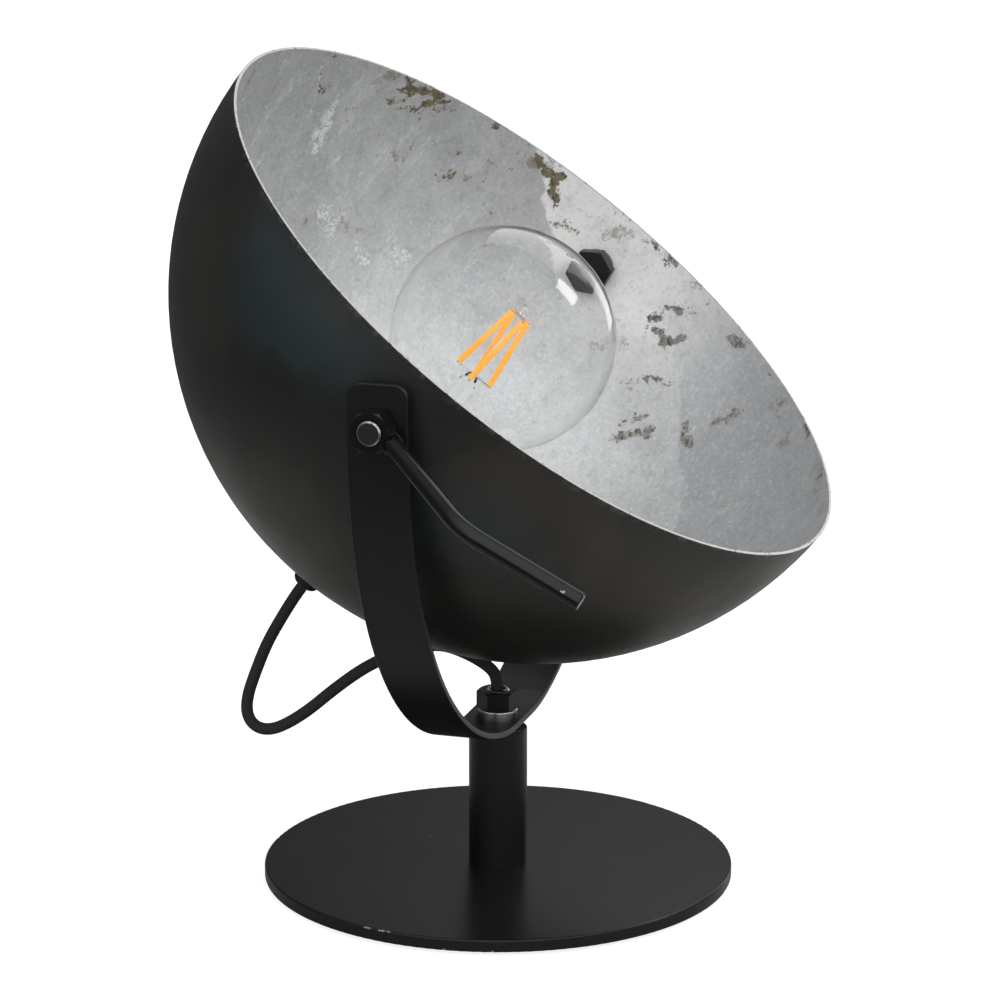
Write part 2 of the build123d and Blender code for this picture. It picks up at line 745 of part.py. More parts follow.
cap_outside = [
    (cap_rim_radius, cap_front_depth),
    (cap_rim_radius, cap_front_depth + cap_rim_length),
] + thread_outline(thread_crest_radius, thread_root_radius, thread_first_depth)
cap_inside = [(radius - cap_wall, depth) for radius, depth in cap_outside]
bulb_cap = on_shade_axis(cap_outside + cap_inside[::-1])
bulb_insulator = on_shade_axis(
    [
        (0, cap_back_depth),
        (insulator_front_radius, cap_back_depth),
        (insulator_back_radius, cap_back_depth + insulator_length),
        (0, cap_back_depth + insulator_length),
    ]
)
bulb_contact = on_shade_axis(
    [
        (0, cap_back_depth + insulator_length),
        (bulb_contact_radius, cap_back_depth + insulator_length),
        (bulb_contact_radius - bulb_contact_length / 2, contact_depth),
        (0, contact_depth),
    ]
)
filament_top_depth = globe_centre_depth - filament_top_ahead
filament_bottom_depth = globe_centre_depth + filament_bottom_behind
top_wires_depth = filament_top_depth - wire_gap - wire_diameter
foot_wires_depth = filament_bottom_depth + wire_gap
stem_top_depth = foot_wires_depth + wire_diameter + wire_gap
bead_depth = top_wires_depth - wire_gap - stem_bead_radius
with BuildPart() as bulb_stem:
    with BuildSketch(shade_section):
        with BuildLine():
            Polyline(
                (0, -bead_depth),
                (stem_rod_radius, -bead_depth),
                (stem_rod_radius, -stem_top_depth),
                (stem_tip_radius, -stem_top_depth),
                (stem_radius, -stem_top_depth - stem_radius),
                (stem_radius, -neck_end_depth + stem_flare_length),
                (stem_flare_radius, -neck_end_depth),
                (0, -neck_end_depth),
                close=True,
            )
        make_face()
    revolve(axis=shade_axis)
    with Locations(rim_centre - shade_direction * bead_depth):
        Sphere(stem_bead_radius)


def wire_star(depth, angles, reach):
    """Wires that spread from a collar on the stem's rod."""
    with BuildPart() as star:
        with BuildSketch(depth_plane(depth)):
            Circle(stem_rod_radius + fit_clearance + wire_collar_wall)
            for angle in angles:
                with PolarLocations(0, 1, -angle):
                    Rectangle(reach, wire_diameter, align=(Align.MIN, Align.CENTER))
            Circle(stem_rod_radius + fit_clearance, mode=Mode.SUBTRACT)
        extrude(amount=wire_diameter)
    return star


top_wires = wire_star(top_wires_depth, filament_top_angles, filament_top_radius + wire_beyond_filament)
foot_reach = filament_bottom_radius + wire_beyond_filament
foot_wires = wire_star(foot_wires_depth, filament_bottom_angles, foot_reach)


def across_shade(angle):
    """Direction square to the shade's axis, turned from X towards the high side of the rim."""
    return Vector(cos(radians(angle)), 0, 0) + shade_across * sin(radians(angle))


for index, angles in enumerate(zip(filament_top_angles, filament_bottom_angles)):
    top = rim_centre - shade_direction * filament_top_depth + across_shade(angles[0]) * filament_top_radius
    bottom_centre = rim_centre - shade_direction * filament_bottom_depth
    bottom = bottom_centre + across_shade(angles[1]) * filament_bottom_radius
    with BuildPart() as bulb_filament:
        with BuildSketch(Plane(origin=top, z_dir=(bottom - top).normalized())):
            Circle(filament_diameter / 2)
        extrude(amount=(bottom - top).length)
    pieces[f"bulb_filament_{index + 1}"] = bulb_filament

# Cord loop, and its straight stretch through the stud into the lampholder
cord_start_depth = grip_depth + cord_in_grip
grip_mouth_depth = grip_depth + cord_grip_length + cord_straight_from_grip
cord_start = rim_centre - shade_direction * cord_start_depth
grip_mouth = rim_centre - shade_direction * grip_mouth_depth
stud_mouth = Vector(0, 0, stud_top + cord_straight_from_stud)
cord_end = Vector(0, 0, stud_top - cord_in_stud)
span = grip_mouth - stud_mouth
span_below = Vector(0, span.Z, -span.Y)
route = [stud_mouth + span * along + span_below * below for along, below in cord_route_shares]
cord_points = [cord_start, grip_mouth] + route + [stud_mouth, cord_end]
runs = [after - before for before, after in zip(cord_points, cord_points[1:])]
cord_radii = []
for before, after in zip(runs, runs[1:]):
    half_turn = radians(before.get_angle(after)) / 2
    cord_radii.append(arc_run_share * min(before.length, after.length) / tan(half_turn))
print("cord bend radii", [round(radius, 1) for radius in cord_radii])
with BuildPart() as cord_loop:
    with BuildLine():
        cord_path = FilletPolyline(*cord_points, radius=cord_radii)
    with BuildSketch(Plane(origin=cord_points[0], x_dir=(1, 0, 0), z_dir=runs[0].normalized())):
        Circle(cord_diameter / 2)
    sweep(path=cord_path)
cord_section = Circle(cord_diameter / 2, mode=Mode.PRIVATE).area
cord_volume = cord_section * cord_path.length
print("cord length", round(cord_path.length, 1), "volume ratio", round(cord_loop.part.volume / cord_volume, 4))

with BuildPart() as holder_lead:
    with BuildSketch(depth_plane(holder_stud_start_depth)):
        Circle(cord_diameter / 2)
    extrude(amount=cord_start_depth - holder_stud_start_depth)

pieces.update(
    {
        "base_pad": base_pad,
        "base_plate": base_plate,
        "base_screw": base_screw,
        "column_tube": column_tube,
        "column_foot_plug": foot_plug,
        "column_head_plug": head_plug,
        "mains_outlet_bush": outlet_bush,
        "swivel_stud": swivel_stud,
        "stud_lock_nut": stud_lock_nut,
        "swivel_spacer": swivel_spacer,
        "friction_washer": friction_washer,
        "swivel_washer": swivel_washer,
        "swivel_nut": swivel_nut,
        "yoke_strap": yoke_strap,
        "cord_loop": cord_loop,
        "shade": shade,
        "lock_nut": lock_nut,
        "lever_hub": lever_hub,
        "lever_arm": lever_arm,
        "holder_stud": holder_stud,
        "holder_spacer": holder_spacer,
        "shade_washer": shade_washer,
        "shade_nut": shade_nut,
        "cord_grip": cord_grip,
        "holder_lead": holder_lead,
        "holder_skirt": holder_skirt,
        "holder_core": holder_core,
        "holder_sleeve": holder_sleeve,
        "holder_contact": holder_contact,
        "holder_dome": holder_dome,
        "bulb_glass": bulb_glass,
        "bulb_cap": bulb_cap,
        "bulb_insulator": bulb_insulator,
        "bulb_contact": bulb_contact,
        "bulb_stem": bulb_stem,
        "bulb_top_wires": top_wires,
        "bulb_foot_wires": foot_wires,
    }
)
os.makedirs("parts", exist_ok=True)
for name, piece in pieces.items():
    piece.part.label = name
    export_step(piece.part, f"parts/{name}.step")
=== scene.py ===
import bpy
from math import pi, radians, sqrt
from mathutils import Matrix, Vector


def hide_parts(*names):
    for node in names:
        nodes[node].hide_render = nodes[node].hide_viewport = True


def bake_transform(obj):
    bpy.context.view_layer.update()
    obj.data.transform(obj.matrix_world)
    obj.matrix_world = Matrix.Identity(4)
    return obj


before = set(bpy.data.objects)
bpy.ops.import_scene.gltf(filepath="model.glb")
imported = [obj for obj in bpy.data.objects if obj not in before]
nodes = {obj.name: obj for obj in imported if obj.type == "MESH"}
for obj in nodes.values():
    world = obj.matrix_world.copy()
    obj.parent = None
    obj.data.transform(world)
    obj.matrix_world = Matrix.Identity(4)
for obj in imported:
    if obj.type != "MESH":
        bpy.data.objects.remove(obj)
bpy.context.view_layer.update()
scene = bpy.context.scene
bpy.ops.object.select_all(action="DESELECT")

MM = 0.001

# The room's glow comes mostly from this way
SKY_WAY = Vector((-0.72, -0.36, 0.59)).normalized()
SKY_DIM = 0.12
SKY_BRIGHT = 1.40

# The shade's own frame: centre of the rim, and the turn about X that puts +Z
# along the way out of the opening
RIM_CENTRE = Vector((0, -17.919, 257.218)) * MM
SHADE_TURN = radians(38.1)
SHADE_RADIUS = 154 * MM
SHADE_INSIDE = 152.8 * MM
RIM_FACE = -0.25 * MM

# Fine lines near the rim and the rubbed edge of the lacquer, by height in that frame
SPINNING_PITCH = 1.1938 * MM
SPINNING_START = -38 * MM
SPINNING_FULL = -10 * MM
RUBBED_START = -3.2 * MM
RUBBED_FULL = -0.4 * MM

# Tones of the lacquer outside the shade
LACQUER_DARK = (0.0150, 0.0148, 0.0138)
LACQUER_PALE = (0.0200, 0.0198, 0.0186)
LACQUER_BROWN = (0.0400, 0.0350, 0.0280)
LACQUER_TEAL = (0.0270, 0.0420, 0.0440)
# Painted sheen: the real spinning lines are drawn paler than the lacquer, standing for the light they catch
LACQUER_LINE_SHEEN = (0.060, 0.062, 0.058)
LACQUER_SPECKS = (0.08, 0.08, 0.075)
LACQUER_RUBBED = (0.13, 0.115, 0.10)

# Tones of the leaf inside the shade, of what shows where it has gone, and of the bare rim
LEAF_SHEET_DARK = (0.60, 0.602, 0.602)
LEAF_SHEET_PALE = (0.68, 0.682, 0.68)
# Painted highlight: the sheet of leaf near the far bolt is made near white to stand for light falling there
LEAF_SHEET_PAINTED_HIGHLIGHT = (0.99, 0.975, 0.965)
LEAF_COOL_SHEET = (0.500, 0.510, 0.520)
LEAF_CLOUD = (0.43, 0.437, 0.445)
LEAF_MOTTLE_DARK = (0.37, 0.37, 0.365)
LEAF_MOTTLE_PALE = (0.90, 0.90, 0.90)
LEAF_FLECK_DARK = (0.30, 0.30, 0.30)
LEAF_FLECK_PALE = (0.96, 0.96, 0.955)
LEAF_FLAKE = (0.97, 0.97, 0.96)
GROUND_GREY = (0.31, 0.295, 0.265)
GROUND_OCHRE = (0.235, 0.190, 0.105)
GROUND_PITS = (0.090, 0.083, 0.070)
RIM_BARE = (0.62, 0.62, 0.61)
RIM_NICKS = (0.14, 0.137, 0.13)

# Ways that the plain edges of two sheets of leaf face, how sharp they are, and the way the leaf is rubbed;
# the first sheet, near the far bolt, also carries a painted highlight
HIGHLIGHT_SHEET_WAY = (0.253, -0.660, 0.707)
COOL_SHEET_WAY = (-0.048, -0.589, 0.806)
SHEET_EDGE = 0.6 * MM
RUBBED_WAY = (0.28, 0.10, 0.95)

# Tilt pivot, and the sawn end of the bolt on the lever's side with its bright edge
PIVOT_HEIGHT = 236.958 * MM
BOLT_END = -171.3 * MM
SAWN_END_DEPTH = 2.2 * MM
BRIGHT_EDGE_START = 4.20 * MM
BRIGHT_EDGE_FULL = 4.45 * MM
BOLT_BLACK = (0.006, 0.006, 0.0062)
BOLT_BLACK_WORN = (0.0095, 0.0095, 0.0098)
BOLT_END_DARK = (0.010, 0.009, 0.008)
BOLT_END_PALE = (0.034, 0.030, 0.026)
BOLT_BRIGHT_EDGE = (0.50, 0.475, 0.445)

# Bare metal in the chips of the black paint
CHIP_METAL = (0.34, 0.33, 0.315)

# Amber of the filaments and their painted glow, and the bulb's glass
AMBER_DEEP = (0.92, 0.36, 0.030)
AMBER_PALE = (1.0, 0.46, 0.055)
# Painted glow: the filaments shine a little though the bulb is not lit
AMBER_PAINTED_GLOW = 0.6
GLASS_SMEARED = (0.985, 0.99, 0.99)
GLASS_CLEAR = (1.0, 1.0, 1.0)
GLASS_BEND = 1.28

# Floor: its tones for the camera, and for the light it throws back near the lamp, behind it and far off
FLOOR_SIZE = 24.0
FLOOR_SEEN_DARK = (0.36, 0.36, 0.36)
FLOOR_SEEN_PALE = (0.40, 0.40, 0.40)
FLOOR_NEAR = (0.46, 0.45, 0.43)
FLOOR_BEHIND = (0.70, 0.68, 0.64)
FLOOR_FAR = (0.14, 0.14, 0.14)
FLOOR_GLOW = 0.84
AIR_COLOUR = (0.97, 0.985, 1.0, 1)

# Soft lights: name, place, aim, width, height and power
SOFTBOXES = [
    ("key_softbox", (0.55, -1.30, 1.25), (0, 0, 0.22), 0.40, 0.60, 9),
    ("back_softbox", (1.5, -0.2, 1.5), (0, 0, 0.2), 1.8, 1.4, 8),
    ("edge_softbox", (1.7, -0.6, 0.45), (0, 0, 0.2), 0.5, 0.9, 2.0),
]

# Camera at the photograph's place
CAMERA_PLACE = Vector((-1.78272, -0.54284, 0.66502))
CAMERA_AIM = Vector((0.00286, 0, 0.16635))
CAMERA_LENS = 164.45
CAMERA_SENSOR = 36.0

# Cord from the grip behind the shade to the swivel stud, as (y, z) in millimetres
CORD_ROUTE = [
    (83.89, 127.37),
    (89.14, 120.69),
    (96.60, 108.90),
    (104.60, 94.90),
    (110.50, 80.00),
    (113.70, 70.70),
    (114.50, 62.85),
    (111.90, 57.50),
    (106.50, 55.30),
    (99.10, 57.10),
    (87.14, 64.94),
    (72.80, 77.90),
    (58.20, 89.20),
    (41.90, 97.30),
    (26.80, 101.60),
    (14.55, 98.70),
    (3.60, 93.20),
    (0.00, 88.00),
    (0.00, 76.50),
]
CORD_DIAMETER = 5.2 * MM

# Strips on the inside of the shade where the leaf has gone, in millimetres in the shade's frame:
# two ends, reach, how far gone
WORN_STRIPS = [
    ((100.4, 115.0, -6.1), (118.3, 96.7, -0.7), 4.1, 1.0),
    ((112.9, 102.6, -9.2), (119.4, 95.3, -3.2), 4.1, 1.0),
    ((98.2, 116.5, -12.2), (105.4, 110.1, -10.6), 3.2, 0.7),
    ((103.6, 111.2, -15.9), (122.4, 91.2, -6.8), 2.7, 0.65),
    ((112.4, 102.7, -13.4), (116.2, 97.2, -20.1), 1.6, 0.6),
    ((100.5, 115.1, -1.6), (104.7, 111.2, -2.0), 2.3, 0.65),
    ((132.7, 75.7, -4.0), (134.5, 72.5, 0.8), 2.7, 0.85),
    ((124.8, 81.7, -33.1), (130.7, 73.6, -29.2), 3.2, 0.55),
    ((127.0, 81.1, -25.3), (129.9, 77.9, -20.2), 2.3, 0.55),
    ((115.2, 95.5, -30.9), (117.5, 93.7, -27.5), 2.3, 0.5),
    ((113.0, 95.5, -38.2), (114.7, 94.9, -34.5), 1.8, 0.45),
    ((140.2, 58.6, -16.0), (141.0, 56.9, -14.7), 1.6, 0.8),
    ((138.3, 60.5, -23.8), (136.4, 61.0, -32.2), 1.5, 0.6),
    ((136.4, 61.0, -32.2), (137.5, 56.1, -36.0), 1.5, 0.55),
    ((137.5, 56.1, -36.0), (139.3, 48.9, -39.3), 1.5, 0.5),
    ((61.0, 140.1, -1.5), (64.1, 138.7, -2.1), 2.0, 0.8),
    ((93.0, 121.2, -1.7), (91.0, 122.8, -0.9), 1.8, 0.6),
    ((61.3, 139.6, -9.8), (67.4, 135.4, -21.8), 3.2, 0.45),
    ((142.9, 54.1, -1.8), (145.8, 45.3, -6.9), 3.2, 1.0),
    ((145.3, 46.9, -6.9), (148.1, 37.1, -6.3), 4.1, 1.0),
    ((146.8, 41.2, -9.5), (148.4, 32.4, -16.2), 3.6, 0.95),
    ((147.2, 34.0, -22.7), (151.2, 12.7, -18.3), 3.2, 0.55),
    ((151.7, 14.6, -10.9), (152.2, 12.5, -5.6), 2.3, 0.55),
    ((152.3, 12.7, -1.6), (152.7, -4.1, -1.4), 2.7, 0.5),
    ((152.5, -8.8, -2.6), (150.5, -26.4, -1.6), 4.1, 0.8),
    ((151.1, -13.8, -18.0), (149.6, -17.9, -25.5), 1.6, 0.6),
    ((146.1, -44.1, -7.2), (145.1, -47.8, -1.1), 1.8, 0.5),
    ((146.8, -31.8, -28.2), (147.3, -36.5, -18.0), 3.2, 0.9),
    ((147.3, -36.5, -18.0), (145.1, -46.6, -11.4), 3.2, 0.9),
    ((145.5, -35.8, -29.8), (143.0, -45.9, -28.0), 4.1, 1.0),
    ((143.0, -45.9, -28.0), (142.5, -50.9, -21.5), 3.2, 0.95),
    ((144.5, -34.0, -36.0), (146.5, -32.3, -28.9), 2.0, 0.7),
    ((138.4, -64.0, -9.7), (133.2, -74.9, -0.8), 4.1, 0.8),
    ((146.9, -20.5, -36.5), (146.1, -23.2, -38.1), 2.3, 0.55),
    ((135.6, -38.6, -58.8), (136.0, -44.8, -53.3), 2.3, 0.4),
    ((136.4, -48.7, -48.7), (135.4, -59.4, -38.7), 3.2, 0.8),
    ((126.3, -52.0, -68.5), (129.3, -60.8, -54.1), 2.7, 0.6),
    ((122.2, -53.2, -74.8), (124.7, -67.6, -56.9), 4.1, 0.75),
    ((118.4, -54.4, -79.8), (121.4, -59.5, -71.2), 2.7, 0.5),
    ((124.7, -76.2, -44.8), (118.1, -83.8, -48.7), 3.4, 0.8),
    ((121.0, -85.7, -36.9), (120.1, -92.3, -20.1), 3.4, 0.75),
    ((112.9, -102.7, -7.2), (111.9, -104.0, -2.7), 3.2, 0.7),
    ((109.3, -106.1, -12.1), (108.2, -107.5, -9.9), 2.3, 0.5),
    ((100.4, -115.1, -2.9), (89.1, -124.1, -1.3), 2.7, 0.85),
    ((127.6, -84.0, -1.9), (124.2, -88.9, -3.8), 2.7, 0.5),
    ((66.7, -137.4, -5.1), (67.3, -137.2, 0.5), 2.7, 1.0),
    ((76.9, -130.8, -18.2), (73.9, -132.7, -16.6), 2.0, 0.6),
]

# Pale flakes in the leaf, told in the same way
PALE_FLAKES = [
    ((59.3, 140.6, -7.3), (65.7, 136.3, -21.1), 3.2, 0.8),
    ((78.9, 129.0, -22.3), (76.9, 123.1, -47.8), 4.5, 1.0),
    ((49.9, 136.0, -48.6), (43.1, 135.0, -57.1), 3.6, 0.9),
    ((40.6, 145.0, -26.0), (36.1, 144.1, -35.7), 2.3, 0.8),
    ((91.4, 114.9, -42.3), (87.9, 113.8, -51.7), 3.2, 0.8),
    ((86.3, 107.4, -66.0), (91.0, 97.5, -74.6), 5.5, 0.8),
    ((65.7, 132.3, -39.1), (67.7, 133.6, -30.2), 2.7, 0.6),
    ((24.5, 150.7, -5.3), (39.4, 147.0, -13.7), 4.1, 0.6),
    ((112.9, 75.6, -69.9), (118.3, 63.9, -72.6), 5.0, 0.7),
    ((99.5, 89.4, -73.8), (104.0, 76.1, -82.0), 4.5, 0.55),
    ((7.7, 149.8, -29.1), (11.4, 150.5, -23.8), 2.7, 0.7),
    ((152.2, 12.8, -5.2), (152.3, -8.9, -7.9), 6.4, 0.8),
    ((151.7, -7.2, -16.6), (151.4, -14.7, -14.8), 4.5, 0.7),
    ((150.7, 25.4, -1.4), (151.5, -19.3, -5.8), 4.1, 0.6),
]

# Blue-green and brown casts in the lacquer outside, told in the same way
TEAL_CASTS = [
    ((-125.2, 87.1, -21.6), (-143.3, 50.8, -24.3), 34.0, 1.0),
    ((-143.3, 50.8, -24.3), (-150.6, 24.8, -20.2), 26.0, 0.8),
    ((-145.0, -30.8, -41.7), (-127.5, -77.8, -40.5), 22.0, 0.6),
]
BROWN_CASTS = [
    ((-136.2, 71.3, -8.3), (-150.9, 30.3, -6.4), 9.0, 0.8),
    ((-99.9, 111.4, -36.4), (-116.9, 81.0, -59.1), 30.0, 0.7),
    ((-121.9, -89.6, -28.7), (-68.1, -136.8, -18.8), 34.0, 0.7),
    ((-148.5, -35.7, -19.7), (-122.3, -91.8, -18.2), 24.0, 0.9),
    ((-120.0, 30.0, -90.0), (-113.8, -12.5, -103.0), 30.0, 0.5),
]

# Chips in the black paint, told in the same way but in the lamp's own frame
LEVER_CHIPS = [
    ((-199.8, -37.2, 216.2), (-199.8, -38.0, 215.8), 0.8, 1.0),
    ((-208.4, -47.4, 209.5), (-208.4, -48.2, 209.1), 0.7, 1.0),
    ((-209.1, -88.0, 192.3), (-209.1, -89.6, 191.6), 0.7, 0.9),
    ((-206.9, -96.4, 190.6), (-206.9, -97.4, 190.2), 0.9, 1.0),
]
BASE_CHIPS = [
    ((-95.9, 30.2, 6.8), (-97.5, 24.4, 6.8), 0.6, 0.7),
    ((-97.9, 22.6, 6.7), (-99.2, 16.0, 6.8), 0.7, 0.75),
    ((-100.3, -6.5, 1.9), (-100.2, -7.9, 1.9), 0.9, 1.0),
    ((-96.8, -26.4, 1.9), (-96.5, -27.6, 1.9), 0.8, 1.0),
    ((92.8, -38.5, 6.5), (91.8, -40.8, 6.5), 0.8, 0.8),
    ((18.4, 36.4, 7.0), (18.8, 37.0, 7.0), 0.6, 0.8),
]


def place(tree, kind, sockets=None, **settings):
    """A shader node with its settings, and with its sockets set to values or joined to other nodes."""
    made = tree.nodes.new("ShaderNode" + kind)
    for name, value in settings.items():
        setattr(made, name, value)
    for name, value in (sockets or {}).items():
        if isinstance(value, bpy.types.NodeSocket):
            tree.links.new(value, made.inputs[name])
        else:
            made.inputs[name].default_value = value
    return made


def noise(tree, vector, scale, detail=3.0, roughness=0.55, distortion=0.0, output="Fac"):
    """Cloudy noise, as a value or a colour."""
    found = place(
        tree,
        "TexNoise",
        {
            "Vector": vector,
            "Scale": scale,
            "Detail": detail,
            "Roughness": roughness,
            "Distortion": distortion,
        },
    )
    return found.outputs[output]


def spread(tree, value, low, high, to_low=0.0, to_high=1.0, smooth=False):
    """A value's range stretched onto another one, and held inside it."""
    found = place(
        tree,
        "MapRange",
        {"Value": value, "From Min": low, "From Max": high, "To Min": to_low, "To Max": to_high},
        interpolation_type="SMOOTHSTEP" if smooth else "LINEAR",
    )
    return found.outputs["Result"]


def calc(tree, operation, first, second=None, third=None, clamp=False):
    """A sum done on one, two or three values."""
    sockets = {0: first}
    if second is not None:
        sockets[1] = second
    if third is not None:
        sockets[2] = third
    return place(tree, "Math", sockets, operation=operation, use_clamp=clamp).outputs["Value"]


def tint(tree, factor, first, second):
    """Two colours mixed by a mask."""
    found = place(tree, "Mix", {"Factor": factor}, data_type="RGBA")
    for index, colour in ((6, first), (7, second)):
        if isinstance(colour, bpy.types.NodeSocket):
            tree.links.new(colour, found.inputs[index])
        else:
            found.inputs[index].default_value = (*colour, 1)
    return found.outputs[2]


def blend_values(tree, factor, first, second):
    """Two values mixed by a mask."""
    found = place(tree, "Mix", {"Factor": factor}, data_type="FLOAT")
    for index, value in ((2, first), (3, second)):
        if isinstance(value, bpy.types.NodeSocket):
            tree.links.new(value, found.inputs[index])
        else:
            found.inputs[index].default_value = value
    return found.outputs[0]


def stretched(tree, vector, factors, turn):
    """Coordinates turned, and stretched along each axis."""
    found = place(tree, "Mapping", {"Vector": vector, "Scale": factors, "Rotation": turn})
    return found.outputs["Vector"]


def shaken(tree, vector, scale, reach, detail=3.0):
    """Coordinates pushed about by noise, so that what is drawn on them gets a torn edge."""
    push = noise(tree, vector, scale, detail, 0.65, 0.0, "Color")
    centred = place(tree, "VectorMath", {0: push, 1: (0.5, 0.5, 0.5)}, operation="SUBTRACT").outputs["Vector"]
    moved = place(
        tree, "VectorMath", {0: centred, 1: (reach, reach, reach), 2: vector}, operation="MULTIPLY_ADD"
    )
    return moved.outputs["Vector"]


def along(tree, vector, way):
    """How far a point lies along a direction."""
    return place(tree, "VectorMath", {0: vector, 1: way}, operation="DOT_PRODUCT").outputs["Value"]


def distance(tree, vector, point):
    """How far each place is from a point."""
    return place(tree, "VectorMath", {0: vector, 1: point}, operation="DISTANCE").outputs["Value"]


def streaked(tree, vector, way, along_scale, across_scale):
    """Coordinates that run slowly along a direction and fast across it."""
    way = Vector(way).normalized()
    side = way.orthogonal().normalized()
    third = way.cross(side)
    parts = [
        calc(tree, "MULTIPLY", along(tree, vector, line), scale)
        for line, scale in ((way, along_scale), (side, across_scale), (third, across_scale))
    ]
    return place(tree, "CombineXYZ", dict(enumerate(parts))).outputs["Vector"]


def bump(tree, height, strength, depth):
    """A normal that follows a height."""
    found = place(tree, "Bump", {"Height": height, "Strength": strength, "Distance": depth})
    return found.outputs["Normal"]


def new_group(name, inputs, outputs):
    """An empty shader group with named sockets."""
    tree = bpy.data.node_groups.new(name, "ShaderNodeTree")
    for socket_name, kind, value in inputs:
        socket = tree.interface.new_socket(socket_name, in_out="INPUT", socket_type="NodeSocket" + kind)
        if value is not None:
            socket.default_value = value
    for socket_name, kind in outputs:
        tree.interface.new_socket(socket_name, in_out="OUTPUT", socket_type="NodeSocket" + kind)
    return tree, tree.nodes.new("NodeGroupInput").outputs, tree.nodes.new("NodeGroupOutput").inputs


def use_group(tree, group, sockets):
    """A group placed in a material with its own values."""
    made = tree.nodes.new("ShaderNodeGroup")
    made.node_tree = group
    for name, value in sockets.items():
        if isinstance(value, bpy.types.NodeSocket):
            tree.links.new(value, made.inputs[name])
        else:
            made.inputs[name].default_value = value
    return made.outputs


def make_paint_grain():
    """Fine pebbled skin of powder coat: its height, a slow drift of tone and a patchy gloss."""
    group, given, put = new_group(
        "paint_grain",
        [("Vector", "Vector", None), ("Grain", "Float", 1500.0)],
        [("Height", "Float"), ("Drift", "Float"), ("Gloss", "Float")],
    )
    pebbles = noise(group, given["Vector"], given["Grain"], 2.0, 0.6)
    drift = noise(group, given["Vector"], 18.0, 4.0, 0.6)
    gloss = noise(group, given["Vector"], 70.0, 3.0, 0.5)
    group.links.new(pebbles, put["Height"])
    group.links.new(spread(group, drift, 0.3, 0.7), put["Drift"])
    group.links.new(spread(group, gloss, 0.3, 0.7), put["Gloss"])
    return group


def make_worn_strip():
    """Long patch round two ends: as far gone as given between them, and nothing past its slack."""
    group, given, put = new_group(
        "worn_strip",
        [
            ("Vector", "Vector", None),
            ("Start", "Vector", None),
            ("End", "Vector", None),
            ("Apart", "Float", 1.0),
            ("Slack", "Float", 1.0),
            ("Gone", "Float", 1.0),
        ],
        [("Level", "Float")],
    )
    first = distance(group, given["Vector"], given["Start"])
    second = distance(group, given["Vector"], given["End"])
    over = calc(group, "SUBTRACT", calc(group, "ADD", first, second), given["Apart"])
    inside = calc(group, "SUBTRACT", 1.0, calc(group, "DIVIDE", over, given["Slack"]), clamp=True)
    group.links.new(calc(group, "MULTIPLY", inside, given["Gone"]), put["Level"])
    return group


def make_handled_metal():
    """Smears and hair scratches of handled metal, as masks."""
    group, given, put = new_group(
        "handled_metal",
        [("Vector", "Vector", None)],
        [("Smear", "Float"), ("Hair", "Float")],
    )
    smear = noise(group, given["Vector"], 90.0, 5.0, 0.6, 0.4)
    hair = noise(group, stretched(group, given["Vector"], (2400, 160, 2400), (0.4, 0.3, 0.5)), 1.0, 2.0, 0.5)
    group.links.new(spread(group, smear, 0.32, 0.68), put["Smear"])
    group.links.new(spread(group, hair, 0.55, 0.75), put["Hair"])
    return group


PAINT_GRAIN = make_paint_grain()
WORN_STRIP = make_worn_strip()
HANDLED_METAL = make_handled_metal()


def worn_level(tree, vector, strips):
    """How far gone each point is by a list of strips, which join where they meet."""
    total = None
    for start, end, reach, gone in strips:
        start, end = Vector(start), Vector(end)
        apart = (end - start).length
        slack = sqrt(apart**2 + 4 * reach**2) - apart
        strip = use_group(
            tree,
            WORN_STRIP,
            {
                "Vector": vector,
                "Start": start * MM,
                "End": end * MM,
                "Apart": apart * MM,
                "Slack": slack * MM,
                "Gone": gone,
            },
        )["Level"]
        total = strip if total is None else calc(tree, "ADD", total, strip)
    return calc(tree, "MINIMUM", total, 1.0)


def new_finish(name):
    """A material with object coordinates and its shader ready to be joined up."""
    finish = bpy.data.materials.new(name)
    finish.use_nodes = True
    tree = finish.node_tree
    shader = tree.nodes["Principled BSDF"]
    where = place(tree, "TexCoord").outputs["Object"]
    return finish, tree, shader, where


def scaled(tone, share):
    """A tone made darker or paler."""
    return tuple(min(1.0, part * share) for part in tone)


def join(tree, shader, **sockets):
    """Sets the shader's sockets, or joins them to other nodes."""
    for name, value in sockets.items():
        socket = shader.inputs[name.replace("_", " ").title()]
        if isinstance(value, bpy.types.NodeSocket):
            tree.links.new(value, socket)
        else:
            socket.default_value = value


def black_paint(name, tone, roughness, grain=1500.0, depth=0.00006, chips=(), specular=0.3):
    """Black powder coat, with chips where the bare metal shows."""
    finish, tree, shader, where = new_finish(name)
    skin = use_group(tree, PAINT_GRAIN, {"Vector": where, "Grain": grain})
    colour = tint(tree, skin["Drift"], scaled(tone, 0.8), scaled(tone, 1.2))
    rough = spread(tree, skin["Gloss"], 0.0, 1.0, roughness - 0.015, roughness + 0.02)
    if chips:
        level = worn_level(tree, shaken(tree, where, 500.0, 0.0022), chips)
        crumbs = noise(tree, where, 1600.0, 4.0, 0.7)
        ragged = calc(tree, "MULTIPLY_ADD", crumbs, 1.2, calc(tree, "MULTIPLY", level, 0.8))
        bare = spread(tree, ragged, 0.92, 1.12, smooth=True)
        bare = calc(tree, "MULTIPLY", bare, spread(tree, level, 0.02, 0.12))
        colour = tint(tree, bare, colour, CHIP_METAL)
        join(tree, shader, metallic=calc(tree, "MULTIPLY", bare, 0.6))
    join(tree, shader, base_color=colour, roughness=rough)
    shader.inputs["Specular IOR Level"].default_value = specular
    tree.links.new(bump(tree, skin["Height"], 0.12, depth), shader.inputs["Normal"])
    return finish


